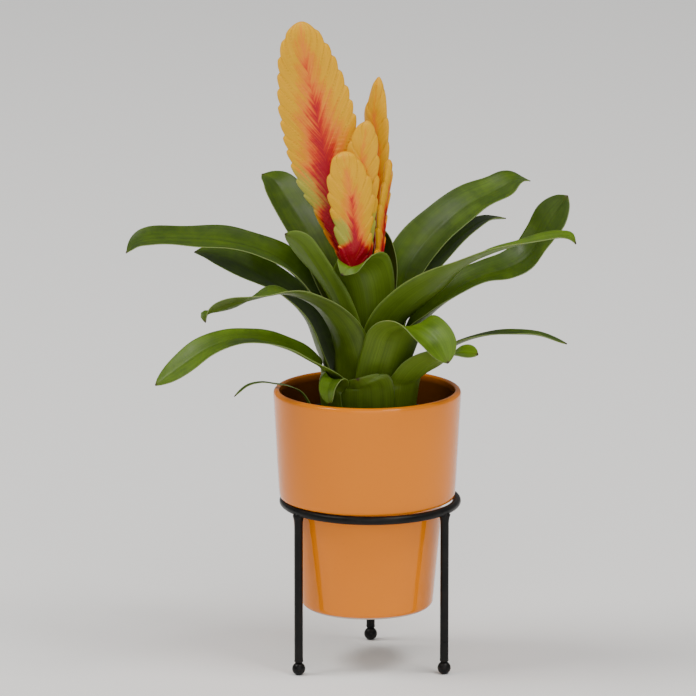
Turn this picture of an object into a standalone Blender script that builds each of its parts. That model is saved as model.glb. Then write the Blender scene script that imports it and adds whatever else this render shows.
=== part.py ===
"""A potted bromeliad in a glazed pot that rests in a wire stand. Metres, +Z up, floor at z = 0.

The origin is on the floor under the middle of everything. The stand's own axis is STAND_OFFSET away from it, and
every piece is placed from that axis. The pot hangs on the ring, the growing pot stands in the pot, and the plant
grows out of it. Tables of leaves and flower spikes are in millimetres from the same axis and the pot's rim.
"""
import math

import bmesh
import bpy
from mathutils import Matrix, Vector

STAND_OFFSET = (0.0145, 0.0044)  # from the origin to the stand's axis, so that the spread is centred on the origin
GAP = 0.0003  # between pieces that touch

# Wire stand
ROD_DIAMETER = 0.006
RING_RADIUS = 0.0605  # to the middle of the rod
RING_HEIGHT = 0.117  # the middle of the ring's rod above the floor
BALL_DIAMETER = 0.0094
BALL_FLAT_RADIUS = 0.0018  # the worn spot that a ball foot stands on
LEG_ANGLES = {"left": 214.5, "right": 328.5, "rear": 89.4}

# Glazed pot, a little off the ring's axis as it was dropped in. It seats on the ring by its sloping shoulder.
POT_SHIFT = -0.0021  # along X
POT_HANG = 0.0753  # from the ring down to the pot's underside
POT_RISE = 0.080  # from the ring up to the pot's rim
POT_WALL = 0.0045
POT_FLOOR = 0.0055
POT_SHOULDER_SLOPE = math.radians(40.0)
POT_SHOULDER_OUT = 0.00492  # how far the shoulder goes on outward from where it seats
POT_SHOULDER_IN = 0.00348  # and inward
POT_SHOULDER_LIFT = 0.00006  # how far its level outer part lies over the ring, past the gap
POT_FLARE = 0.0043  # the rim's radius over the shoulder's
POT_TAPER = 0.0064  # the waist's radius over the foot's
POT_FOOT_ROUND = 0.0052
POT_LIP_ROUND = 0.0018

# Growing pot inside it, and its soil
GROW_WALL = 0.0010
GROW_RIM_CLEARANCE = 0.0067  # from its rim to the glazed pot's inner wall at the shoulder
GROW_FOOT_CLEARANCE = 0.0044  # from its foot to the glazed pot's inner wall
GROW_RIM_WIDTH = 0.0020
GROW_RIM_HEIGHT = 0.007
SOIL_DROP = 0.0045  # below the growing pot's rim
SOIL_CROWN = 0.0015  # how much higher the middle is
SOIL_CLEARANCE = 0.0006  # to the growing pot's wall

# Plant, drawn for a pot of one rim radius and grown or shrunk with the pot
PLANT_DRAWN_RIM = 0.0655
CROWN_DEPTH = 0.0208  # from the rim down to where the leaves start, just over the soil
LEAF_THICKNESS = 0.0008
LEAF_COLUMNS = 6
TIER_FIRST = 0.0115  # radius of the innermost tier of leaves at the pot's rim
TIER_PITCH = 0.0017
TIER_FOOT_SHARE = 0.86  # of that radius, down at the soil
SHEATH_RISE = 0.006  # how far above the rim the sheaths end
SHEATH_CLEARANCE = 0.0012  # over the soil
STEM_RADIUS = 0.0050
STEM_RISE = 0.065  # above the rim
STEM_LEAN = -0.006  # along X at its top

# What follows from those sizes
ROD_REACH = ROD_DIAMETER / 2 + GAP  # from the middle of the ring's rod to the pot's face
SEAT_RADIUS = RING_RADIUS + POT_SHIFT - ROD_REACH * math.sin(POT_SHOULDER_SLOPE)
SEAT_HEIGHT = RING_HEIGHT + ROD_REACH * math.cos(POT_SHOULDER_SLOPE)
SHOULDER_UNDER = RING_HEIGHT + ROD_REACH + POT_SHOULDER_LIFT
POT_BOTTOM = RING_HEIGHT - POT_HANG
POT_TOP = RING_HEIGHT + POT_RISE
POT_SHOULDER_RADIUS = SEAT_RADIUS + POT_SHOULDER_OUT
POT_WAIST_RADIUS = SEAT_RADIUS - POT_SHOULDER_IN
POT_RIM_RADIUS = POT_SHOULDER_RADIUS + POT_FLARE
POT_FOOT_RADIUS = POT_WAIST_RADIUS - POT_TAPER
GROW_RIM_RADIUS = POT_SHOULDER_RADIUS - POT_WALL - GROW_RIM_CLEARANCE
GROW_FOOT_RADIUS = POT_FOOT_RADIUS - POT_WALL - GROW_FOOT_CLEARANCE
GROW_FOOT = POT_BOTTOM + POT_FLOOR + GAP
PLANT_SCALE = POT_RIM_RADIUS / PLANT_DRAWN_RIM
SHEATH_FOOT = POT_TOP - CROWN_DEPTH * PLANT_SCALE
SOIL_LEVEL = SHEATH_FOOT - SHEATH_CLEARANCE - SOIL_CROWN
GROW_TOP = SOIL_LEVEL + SOIL_DROP

# Every leaf: the way it heads in degrees, its tier from the inside, the width of its sheath, then rows outward
# of x, y, height over the pot's rim, width, roll in degrees, half angle of its channel in degrees.
LEAVES = {
    "leaf_tank_front": (266, 0, 34, (
        (-1, -13, 38, 38, 0, 80), (-2, -16, 60, 46, 0, 74), (-4, -19, 76, 50, 0, 66),
        (-8, -22, 87, 48, 0, 54), (-14, -28, 92, 28, 0, 30), (-20, -33, 87, 10, 0, 12))),
    "leaf_back_right": (62, 1, 24, (
        (7, 13, 43, 24, 0, 50), (10, 17, 68, 24, 0, 40), (10, 21, 88, 22, 0, 30), (5, 26, 110, 16, 0, 20))),
    "leaf_left_short": (213, 2, 28, (
        (-17, -11, 43, 28, 0, 60), (-25, -15, 66, 26, 10, 50), (-32, -18, 81, 22, 20, 40),
        (-41, -20, 96, 21, 30, 30), (-49, -21, 107, 20, 35, 25), (-59, -21, 114, 18, 35, 20))),
    "leaf_back_left": (125, 3, 34, (
        (-17, 17, 39, 35, 0, 70), (-32, 25, 79, 36, 0, 46), (-43, 33, 103, 38, 0, 28),
        (-56, 44, 122, 35, 0, 22), (-66, 52, 136, 30, 0, 18), (-76, 57, 141, 25, 0, 12))),
    "leaf_right_light": (322, 4, 36, (
        (12, -16, 36, 41, 0, 55), (19, -22, 53, 44, -10, 44), (30, -27, 66, 42, -16, 36),
        (44, -30, 78, 38, -12, 30), (60, -32, 91, 31, -2, 26), (80, -34, 102, 26, 6, 24),
        (101, -35, 109, 23, 8, 20), (122, -36, 114, 22, 8, 16), (136, -37, 115, 18, 4, 12),
        (141, -38, 110, 10, 0, 10))),
    "leaf_upper_right": (44, 5, 36, (
        (15, 17, 38, 36, 0, 50), (20, 21, 63, 38, 4, 40), (28, 27, 83, 39, 6, 34), (40, 32, 99, 40, 8, 28),
        (55, 37, 113, 38, 8, 24), (71, 41, 124, 35, 8, 20), (88, 44, 132, 33, 6, 16), (102, 46, 139, 31, 4, 14),
        (112, 47, 138, 24, 0, 10))),
    "leaf_left_long": (178, 6, 36, (
        (-27, 3, 39, 36, 0, 50), (-39, 6, 64, 33, -8, 34), (-62, 12, 89, 33, -16, 32),
        (-94, 16, 100, 30, -20, 26), (-129, 18, 103, 28, -20, 20), (-158, 18, 102, 26, -18, 14),
        (-170, 15, 93, 19, -10, 10))),
    "leaf_upper_right_under": (34, 7, 36, (
        (20, 17, 38, 34, 0, 52), (25, 21, 53, 32, 0, 42), (37, 28, 73, 30, 0, 34), (53, 35, 90, 28, 0, 28),
        (69, 40, 104, 25, -4, 24), (82, 43, 111, 23, -10, 20), (95, 44, 112, 17, -12, 12))),
    "leaf_left_arching": (228, 8, 40, (
        (-16, -24, 25, 40, 0, 49), (-21, -30, 45, 38, 0, 46), (-32, -41, 64, 34, 0, 32),
        (-48, -49, 75, 29, 0, 26), (-63, -54, 79, 25, 0, 24), (-78, -57, 76, 22, 24, 22),
        (-92, -58, 72, 20, 46, 22), (-105, -59, 68, 19, 44, 24), (-113, -60, 65, 15, 20, 26),
        (-113, -62, 60, 8, 0, 20))),
    "leaf_right_upturned": (352, 9, 38, (
        (29, -6, 37, 38, 2, 44), (41, -5, 54, 37, 12, 36), (58, 0, 69, 35, 20, 30), (78, 4, 79, 32, 24, 26),
        (96, 8, 84, 32, 28, 22), (109, 10, 91, 34, 32, 18), (118, 12, 104, 36, 36, 16),
        (126, 13, 118, 38, 38, 14), (137, 14, 134, 31, 34, 10))),
    "leaf_left_shaded": (166, 10, 42, (
        (-36, 9, 27, 46, 0, 44), (-44, 13, 48, 42, 0, 36), (-57, 20, 63, 37, -8, 30), (-74, 26, 73, 36, -15, 24),
        (-91, 30, 82, 33, -19, 20), (-108, 33, 88, 27, -18, 14), (-123, 34, 90, 17, -12, 10))),
    "leaf_front_big": (287, 11, 40, (
        (11, -31, 19, 42, 0, 46), (15, -36, 34, 43, 0, 40), (18, -42, 45, 42, -2, 32), (24, -51, 54, 38, 4, 28),
        (34, -59, 56, 33, 2, 24), (46, -65, 48, 26, -4, 20), (53, -69, 33, 15, 0, 14))),
    "leaf_right_thin": (341, 12, 26, (
        (37, -13, 17, 24, 0, 30), (51, -15, 29, 20, 0, 26), (65, -16, 37, 17, 0, 24), (82, -17, 42, 15, 0, 22),
        (100, -18, 43, 14, 0, 20), (118, -19, 42, 12, 0, 16), (136, -20, 36, 8, 0, 12))),
    "leaf_lower_left": (212, 13, 38, (
        (-29, -22, 12, 34, -6, 46), (-35, -29, 22, 34, -14, 32), (-46, -35, 31, 32, -20, 28),
        (-60, -40, 39, 30, -16, 24), (-77, -43, 44, 29, -11, 22), (-94, -46, 45, 29, -9, 18),
        (-112, -49, 39, 28, -8, 16), (-129, -51, 28, 24, -10, 14), (-148, -53, 14, 16, -10, 10))),
    "leaf_lower_right": (318, 14, 34, (
        (29, -29, 13, 32, -8, 34), (38, -37, 24, 30, -18, 30), (50, -43, 32, 27, -14, 26), (61, -47, 35, 24, 6, 22),
        (74, -50, 35, 20, 18, 14))),
    "leaf_left_curled": (227, 18, 20, (
        (-24, -41, 14, 19, 0, 24), (-26, -46, 16, 18, 0, 30), (-29, -49, 10, 15, 0, 30), (-28, -51, 0, 8, 0, 20))),
    "leaf_front_short": (264, 16, 42, (
        (-6, -41, 11, 35, 0, 40), (-9, -44, 17, 22, 0, 30))),
    "leaf_grass_blade": (205, None, 6, (
        (-37, -17, -20.5, 5, 0, 12), (-42, -14, -9, 5, 0, 12), (-48, -9, -1, 5, 0, 12), (-57, -3, 2.4, 4, 0, 12),
        (-66, 2, 2.8, 4, 0, 12), (-76, 6, 3, 4, 0, 12), (-86, 8, 0, 4, 0, 12), (-95, 9, -8, 3, 0, 12))),
}
# The last stretch of each blade, over which it rounds off to its point
TIP_SHARE = 0.13

# Every flower spike: yaw of its flat face in degrees, thickness, pairs of bracts, then rows of x, y, height over
# the pot's rim, width.
SPIKES = {
    "spike_main": (0, 9, 18, (
        (-10, 3, 67, 7), (-13, 4, 91, 9), (-18, 5, 106, 14), (-25, 5, 126, 26), (-29, 5, 146, 42), (-33, 5, 172, 51),
        (-38, 4, 198, 51), (-42, 4, 218, 45), (-46, 3, 239, 34), (-48, 3, 258, 14))),
    "spike_front": (4, 8, 8, (
        (-10, -7, 67, 9), (-12, -11, 93, 18), (-11, -13, 104, 23), (-12, -13, 118, 27), (-13, -13, 136, 32),
        (-16, -13, 153, 28), (-19, -13, 170, 12))),
    "spike_middle": (-4, 6, 8, (
        (-1, 1, 67, 5), (-3, -2, 90, 8), (-3.5, -3.5, 112, 13), (-4, -4, 138, 19), (-5.5, -4, 158, 23),
        (-5, -4, 171, 21), (-3.5, -4, 181, 16), (-2, -4, 190, 7))),
    "spike_tall": (-28, 6, 8, (
        (6, 15, 67, 6), (6, 21, 123, 8), (6, 24, 160, 15), (5, 24, 175, 18), (4, 24, 189, 18), (5, 24, 203, 12),
        (6, 24, 216, 4))),
    "spike_right": (66, 5, 6, (
        (6, 3, 67, 5), (6, 5, 88, 8), (7, 7, 106, 12), (8, 7, 121, 14), (10, 7, 135, 14), (12, 7, 149, 10),
        (13, 7, 161, 4))),
    "spike_bud": (20, 3, 2, ((3, -12, 67, 3), (3.5, -13, 80, 5), (4, -13, 92, 6), (4, -13, 101, 2))),
    "spike_left": (10, 5, 5, ((-14, 12, 67, 5), (-16, 13, 87, 9), (-24, 14, 105, 12), (-32, 14, 121, 12),
                              (-43, 14, 140, 4))),
}

COLOURS = {
    "leaf": (0.095, 0.165, 0.022, 1.0), "leaf_dark": (0.055, 0.110, 0.016, 1.0),
    "grass": (0.10, 0.15, 0.03, 1.0), "bract": (0.80, 0.42, 0.03, 1.0), "bract_red": (0.62, 0.12, 0.05, 1.0),
    "stem": (0.16, 0.24, 0.05, 1.0), "glaze": (0.78, 0.30, 0.045, 1.0), "metal": (0.012, 0.012, 0.013, 1.0),
    "plastic": (0.02, 0.02, 0.02, 1.0), "soil": (0.035, 0.022, 0.014, 1.0),
}


def clear_file():
    for item in list(bpy.data.objects):
        bpy.data.objects.remove(item, do_unlink=True)


def material(name, colour, roughness, metallic=0.0):
    made = bpy.data.materials.new(name)
    made.use_nodes = True
    shader = made.node_tree.nodes["Principled BSDF"]
    shader.inputs["Base Color"].default_value = COLOURS[colour]
    shader.inputs["Roughness"].default_value = roughness
    shader.inputs["Metallic"].default_value = metallic
    return made


def add_object(name, build, colour, roughness, metallic=0.0, centre=(0.0, 0.0, 0.0), smooth=True):
    """Turn a bmesh into a named object placed from the stand's axis."""
    bmesh.ops.recalc_face_normals(build, faces=build.faces[:])
    shift = Vector(centre) + Vector((STAND_OFFSET[0], STAND_OFFSET[1], 0.0))
    bmesh.ops.translate(build, verts=build.verts[:], vec=shift)
    mesh = bpy.data.meshes.new(name)
    build.to_mesh(mesh)
    build.free()
    for face in mesh.polygons:
        face.use_smooth = smooth
    mesh.materials.append(material(name + "_finish", colour, roughness, metallic))
    made = bpy.data.objects.new(name, mesh)
    bpy.context.scene.collection.objects.link(made)
    return made


def arc(centre, radius, start, end, steps):
    """Points of an arc in the r, z plane, angles in degrees."""
    points = []
    for step in range(steps + 1):
        angle = math.radians(start + (end - start) * step / steps)
        points.append((centre[0] + radius * math.cos(angle), centre[1] + radius * math.sin(angle)))
    return points


def turned(profile, steps, closed=False):
    """Spin a profile of r, z points round the Z axis."""
    build = bmesh.new()
    verts = [build.verts.new((r, 0.0, z)) for r, z in profile]
    pairs = list(zip(verts, verts[1:]))
    if closed:
        pairs.append((verts[-1], verts[0]))
    edges = [build.edges.new(pair) for pair in pairs]
    bmesh.ops.spin(build, geom=verts + edges, cent=(0, 0, 0), axis=(0, 0, 1), angle=math.tau, steps=steps,
                   use_merge=True)
    bmesh.ops.remove_doubles(build, verts=build.verts[:], dist=1e-6)
    return build


def rod_between(start, end, radius, sides):
    """A round rod from one point to another, its ends closed."""
    build = bmesh.new()
    along = Vector(end) - Vector(start)
    bmesh.ops.create_cone(build, cap_ends=True, cap_tris=False, segments=sides, radius1=radius, radius2=radius,
                          depth=along.length)
    turn = along.to_track_quat("Z", "Y").to_matrix().to_4x4()
    middle = (Vector(start) + Vector(end)) / 2
    bmesh.ops.transform(build, verts=build.verts[:], matrix=Matrix.Translation(middle) @ turn)
    return build


def on_circle(radius, degrees, z=0.0):
    return (radius * math.cos(math.radians(degrees)), radius * math.sin(math.radians(degrees)), z)


def add_stand():
    rod = ROD_DIAMETER / 2
    ball = BALL_DIAMETER / 2
    ring = turned(arc((RING_RADIUS, RING_HEIGHT), rod, 0, 330, 11), 36, closed=True)
    add_object("stand_ring", ring, "metal", 0.35, 0.6)
    ball_centre = math.sqrt(ball ** 2 - BALL_FLAT_RADIUS ** 2)
    for side, degrees in LEG_ANGLES.items():
        top = on_circle(RING_RADIUS, degrees, RING_HEIGHT - rod - GAP)
        foot = on_circle(RING_RADIUS, degrees, ball_centre + ball + GAP)
        add_object("stand_leg_" + side, rod_between(foot, top, rod, 14), "metal", 0.35, 0.6)
        low = math.degrees(math.asin(-ball_centre / ball))
        profile = [(0.0, 0.0)] + arc((0.0, ball_centre), ball, low, 90, 8)
        profile[-1] = (0.0, ball_centre + ball)
        add_object("foot_ball_" + side, turned(profile, 16), "metal", 0.35, 0.6, on_circle(RING_RADIUS, degrees))


def pot_profile(inset, bottom, lip):
    """The r, z points down the pot's wall from the lip, inset from its outer face."""
    slope = math.tan(POT_SHOULDER_SLOPE)
    top_r = POT_SHOULDER_RADIUS
    foot_r = POT_WAIST_RADIUS
    top_z = SEAT_HEIGHT + POT_SHOULDER_OUT * slope
    foot_z = SEAT_HEIGHT - POT_SHOULDER_IN * slope
    drop = inset * 0.35
    fillet = POT_FOOT_ROUND - inset * 0.4
    foot = POT_FOOT_RADIUS - inset
    points = list(lip)
    if inset == 0:
        level_r = SEAT_RADIUS + (SHOULDER_UNDER - SEAT_HEIGHT) / slope
        points += [(top_r + 0.0008, SHOULDER_UNDER + 0.0086), (top_r + 0.0001, SHOULDER_UNDER + 0.0014)]
        points += [(top_r - 0.0009, SHOULDER_UNDER), (level_r, SHOULDER_UNDER)]
    else:
        points += [(top_r - inset + 0.0008, top_z - drop + 0.0080), (top_r - inset + 0.0001, top_z - drop + 0.0016)]
        points += [(top_r - inset - 0.0009, top_z - drop - 0.0006)]
    points += [(foot_r - inset + 0.0009, foot_z - drop + 0.0007)]
    points += [(foot_r - inset + 0.0001, foot_z - drop - 0.0012)]
    points += arc((foot - fillet, bottom + fillet), fillet, 0, -90, 4)
    points += [(0.0, bottom)]
    return points


def add_pots():
    lip = POT_LIP_ROUND
    outer_lip = arc((POT_RIM_RADIUS - lip, POT_TOP - lip), lip, 90, 0, 3)
    outer = pot_profile(0.0, POT_BOTTOM, outer_lip)
    inner_lip = arc((POT_RIM_RADIUS - POT_WALL + lip, POT_TOP - lip), lip, 90, 180, 3)
    inner = pot_profile(POT_WALL, POT_BOTTOM + POT_FLOOR, inner_lip)
    profile = list(reversed(inner)) + outer
    pot = turned(profile, 40)
    add_object("ceramic_pot", pot, "glaze", 0.16, 0.0, (POT_SHIFT, 0.0, 0.0))

    edge = GROW_RIM_RADIUS
    under = edge - GROW_RIM_WIDTH
    rim_z = GROW_TOP - GROW_RIM_HEIGHT
    slope = (under - GROW_FOOT_RADIUS) / (rim_z - GROW_FOOT)
    outer = [(0.0, GROW_FOOT), (GROW_FOOT_RADIUS - 0.002, GROW_FOOT), (GROW_FOOT_RADIUS, GROW_FOOT + 0.002),
             (under, rim_z), (edge, rim_z), (edge, GROW_TOP)]
    inside = under - GROW_WALL
    foot_inside = GROW_FOOT_RADIUS - GROW_WALL
    floor = GROW_FOOT + GROW_WALL
    inner = [(edge - GROW_WALL, GROW_TOP), (edge - GROW_WALL, rim_z + 0.002), (inside, rim_z),
             (foot_inside + 0.002 * slope, floor + 0.002), (foot_inside - 0.003, floor), (0.0, floor)]
    add_object("grow_pot", turned(outer + inner, 32), "plastic", 0.55, 0.0, (POT_SHIFT, 0.0, 0.0))

    low = floor + GAP
    edge = inside - SOIL_CLEARANCE
    soil = [(0.0, low), (foot_inside - 0.004, low), (foot_inside - SOIL_CLEARANCE, low + 0.004),
            (edge, rim_z - 0.001), (edge, SOIL_LEVEL), (inside * 0.6, SOIL_LEVEL + SOIL_CROWN * 0.7),
            (0.0, SOIL_LEVEL + SOIL_CROWN)]
    add_object("potting_soil", turned(soil, 28), "soil", 0.95, 0.0, (POT_SHIFT, 0.0, 0.0))


def smooth_row(rows, position):
    """A Catmull-Rom value of the rows at a position counted in rows."""
    last = len(rows) - 1
    index = min(int(position), last - 1)
    part = position - index
    before = rows[max(index - 1, 0)]
    start = rows[index]
    end = rows[index + 1]
    after = rows[min(index + 2, last)]
    values = []
    for a, b, c, d in zip(before, start, end, after):
        first = (c - a) / 2
        second = (d - b) / 2
        turn = 2 * b - 2 * c + first + second
        bend = 3 * c - 3 * b - 2 * first - second
        values.append(((turn * part + bend) * part + first) * part + b)
    return values


def evenly(rows, steps):
    """Rows at even lengths along the curve through them, and a bit closer together at the end."""
    dense = []
    for index in range((len(rows) - 1) * 16 + 1):
        dense.append(smooth_row(rows, index / 16))
    lengths = [0.0]
    for first, second in zip(dense, dense[1:]):
        lengths.append(lengths[-1] + (Vector(second[:3]) - Vector(first[:3])).length)
    found = []
    for step in range(steps + 1):
        share = step / steps
        share = share + 0.35 * share * (1 - share) * share
        wanted = lengths[-1] * share
        index = 0
        while index < len(lengths) - 2 and lengths[index + 1] < wanted:
            index += 1
        part = (wanted - lengths[index]) / max(lengths[index + 1] - lengths[index], 1e-9)
        row = [a + (b - a) * part for a, b in zip(dense[index], dense[index + 1])]
        found.append((share, row))
    return found


def placed(row):
    """A row's x, y, height over the rim and width, as metres from the stand's axis and the floor."""
    x, y, rise, width = (value / 1000 * PLANT_SCALE for value in row)
    return (x, y, POT_TOP + rise, width)


def leaf_rows(name):
    """All rows of a leaf in metres, its sheath included."""
    degrees, tier, sheath, rows = LEAVES[name]
    made = []
    if tier is not None:
        radius = (TIER_FIRST + TIER_PITCH * tier) * PLANT_SCALE
        width = sheath / 1000 * PLANT_SCALE
        sheath_top = POT_TOP + SHEATH_RISE * PLANT_SCALE
        for z, r in ((SHEATH_FOOT, radius * TIER_FOOT_SHARE), (sheath_top, radius)):
            x, y, z = on_circle(r, degrees, z)
            cup = min(math.degrees(width / 2 / r), 100.0)
            made.append((x, y, z, width, 0.0, cup))
    for row in rows:
        made.append(placed(row[:4]) + row[4:])
    return made


def blade_width(share, width):
    """The width of a blade that keeps its breadth and rounds off to a small point."""
    rest = (share - (1 - TIP_SHARE)) / TIP_SHARE
    if rest <= 0:
        return width
    return max(width * math.sqrt(max(1 - rest ** 2, 0.0)), 0.0008)


def leaf_mesh(name, steps):
    degrees = LEAVES[name][0]
    stations = evenly(leaf_rows(name), steps)
    side = Vector(on_circle(1.0, degrees + 90))
    build = bmesh.new()
    bmesh.ops.create_grid(build, x_segments=LEAF_COLUMNS, y_segments=steps, size=1.0)
    frames = []
    for index, (share, row) in enumerate(stations):
        here = Vector(row[:3])
        ahead = Vector(stations[min(index + 1, steps)][1][:3])
        behind = Vector(stations[max(index - 1, 0)][1][:3])
        along = (ahead - behind).normalized()
        across = (side - along * side.dot(along)).normalized()
        up = along.cross(across)
        roll = math.radians(row[4])
        turned_across = across * math.cos(roll) + up * math.sin(roll)
        turned_up = up * math.cos(roll) - across * math.sin(roll)
        frames.append((here, turned_across, turned_up, blade_width(share, row[3]), math.radians(max(row[5], 2.0))))
    for vert in build.verts:
        index = round((vert.co.y + 1) / 2 * steps)
        here, across, up, width, cup = frames[index]
        bow = width / 2 / cup
        angle = cup * vert.co.x
        vert.co = here + across * (bow * math.sin(angle)) + up * (bow * (1 - math.cos(angle)))
    return build


def add_leaves():
    for name, (degrees, tier, sheath, rows) in LEAVES.items():
        steps = 9 + min(len(rows), 6)
        colour = "leaf_dark" if tier in (1, 7, 10) else "leaf"
        if name == "leaf_grass_blade":
            colour = "grass"
        made = add_object(name, leaf_mesh(name, steps), colour, 0.42)
        thicken = made.modifiers.new("Thickness", "SOLIDIFY")
        thicken.thickness = LEAF_THICKNESS * PLANT_SCALE
        thicken.offset = 0.0
        thicken.use_even_offset = True


def spike_mesh(name):
    yaw, thickness, pairs, rows = SPIKES[name]
    rows = [placed(row) for row in rows]
    thickness = thickness / 1000 * PLANT_SCALE
    steps = 2 * pairs + 6
    build = bmesh.new()
    bmesh.ops.create_uvsphere(build, u_segments=8, v_segments=steps, radius=1.0)
    stations = evenly(rows, steps)
    facing = Vector(on_circle(1.0, yaw))
    for vert in build.verts:
        index = round(math.acos(max(-1.0, min(1.0, -vert.co.z))) / math.pi * steps)
        share, row = stations[index]
        here = Vector(row[:3])
        ahead = Vector(stations[min(index + 1, steps)][1][:3])
        behind = Vector(stations[max(index - 1, 0)][1][:3])
        along = (ahead - behind).normalized()
        across = (facing - along * facing.dot(along)).normalized()
        out = along.cross(across)
        if index in (0, steps):
            vert.co = here
            continue
        angle = math.atan2(vert.co.y, vert.co.x)
        scallop = 1.0 - (0.07 if index % 2 else 0.0)
        half = row[3] / 2 * scallop
        deep = min(thickness, row[3] * 0.8) / 2
        vert.co = here + across * (half * math.cos(angle)) + out * (deep * math.sin(angle))
    return build


def add_flower():
    radius = STEM_RADIUS * PLANT_SCALE
    lean = STEM_LEAN * PLANT_SCALE
    top_z = POT_TOP + STEM_RISE * PLANT_SCALE
    tilt = abs(lean) / (top_z - SHEATH_FOOT)
    foot_z = SOIL_LEVEL + SOIL_CROWN + GAP + radius * tilt  # its low edge clears the soil as it leans
    add_object("flower_stem", rod_between((0.0, 0.0, foot_z), (lean, 0.0, top_z), radius, 10), "stem", 0.5)
    for name in SPIKES:
        colour = "bract_red" if name in ("spike_left", "spike_right") else "bract"
        add_object(name, spike_mesh(name), colour, 0.4)


def main():
    clear_file()
    add_stand()
    add_pots()
    add_leaves()
    add_flower()


main()
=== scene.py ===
"""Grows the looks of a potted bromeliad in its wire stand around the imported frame. Metres, +Z up.

Laid out as an add-on: settings, one operator for each group of pieces, a panel, and main(), which calls
them in order.
"""
import math
import random

import bmesh
import bpy
from bpy.props import FloatProperty, FloatVectorProperty, IntProperty, PointerProperty
from bpy.types import Operator, Panel, PropertyGroup
from mathutils import Matrix, Vector, noise


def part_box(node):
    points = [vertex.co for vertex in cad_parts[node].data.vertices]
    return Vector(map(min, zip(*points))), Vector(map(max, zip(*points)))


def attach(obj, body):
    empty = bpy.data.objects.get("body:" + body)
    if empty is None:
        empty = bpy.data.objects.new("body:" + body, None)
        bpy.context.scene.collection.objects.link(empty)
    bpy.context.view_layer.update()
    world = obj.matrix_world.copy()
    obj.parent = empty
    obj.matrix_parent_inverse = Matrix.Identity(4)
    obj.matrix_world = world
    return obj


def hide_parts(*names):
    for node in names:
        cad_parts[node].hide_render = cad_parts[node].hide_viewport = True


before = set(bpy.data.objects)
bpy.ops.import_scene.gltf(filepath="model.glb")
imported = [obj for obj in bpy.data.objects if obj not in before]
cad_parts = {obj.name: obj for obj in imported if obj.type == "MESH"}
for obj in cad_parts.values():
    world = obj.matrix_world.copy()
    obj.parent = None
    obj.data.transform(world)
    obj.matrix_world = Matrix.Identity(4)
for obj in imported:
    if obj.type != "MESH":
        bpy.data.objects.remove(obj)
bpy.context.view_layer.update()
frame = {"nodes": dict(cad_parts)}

bl_info = {
    "name": "Potted Bromeliad",
    "version": (1, 0, 0),
    "blender": (4, 5, 0),
    "location": "3D View > Sidebar > Bromeliad",
    "description": "Builds a bromeliad in a glazed pot on a wire ring stand",
    "category": "Object",
}

BODY = "root"
MM = 0.001


def node_centre(name):
    low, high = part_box(name)
    return (Vector(low) + Vector(high)) / 2


RING_CENTRE = node_centre("stand_ring")
POT_CENTRE = node_centre("ceramic_pot")
AXIS = Vector((RING_CENTRE.x, RING_CENTRE.y, 0.0))
POT_AXIS = Vector((POT_CENTRE.x, POT_CENTRE.y, 0.0))
RING_LOW, RING_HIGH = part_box("stand_ring")
ROD_RADIUS = (RING_HIGH[2] - RING_LOW[2]) / 2
RING_RADIUS = (RING_HIGH[0] - RING_LOW[0]) / 2 - ROD_RADIUS
POT_LOW, POT_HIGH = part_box("ceramic_pot")
SOIL_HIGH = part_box("potting_soil")[1][2]

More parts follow.
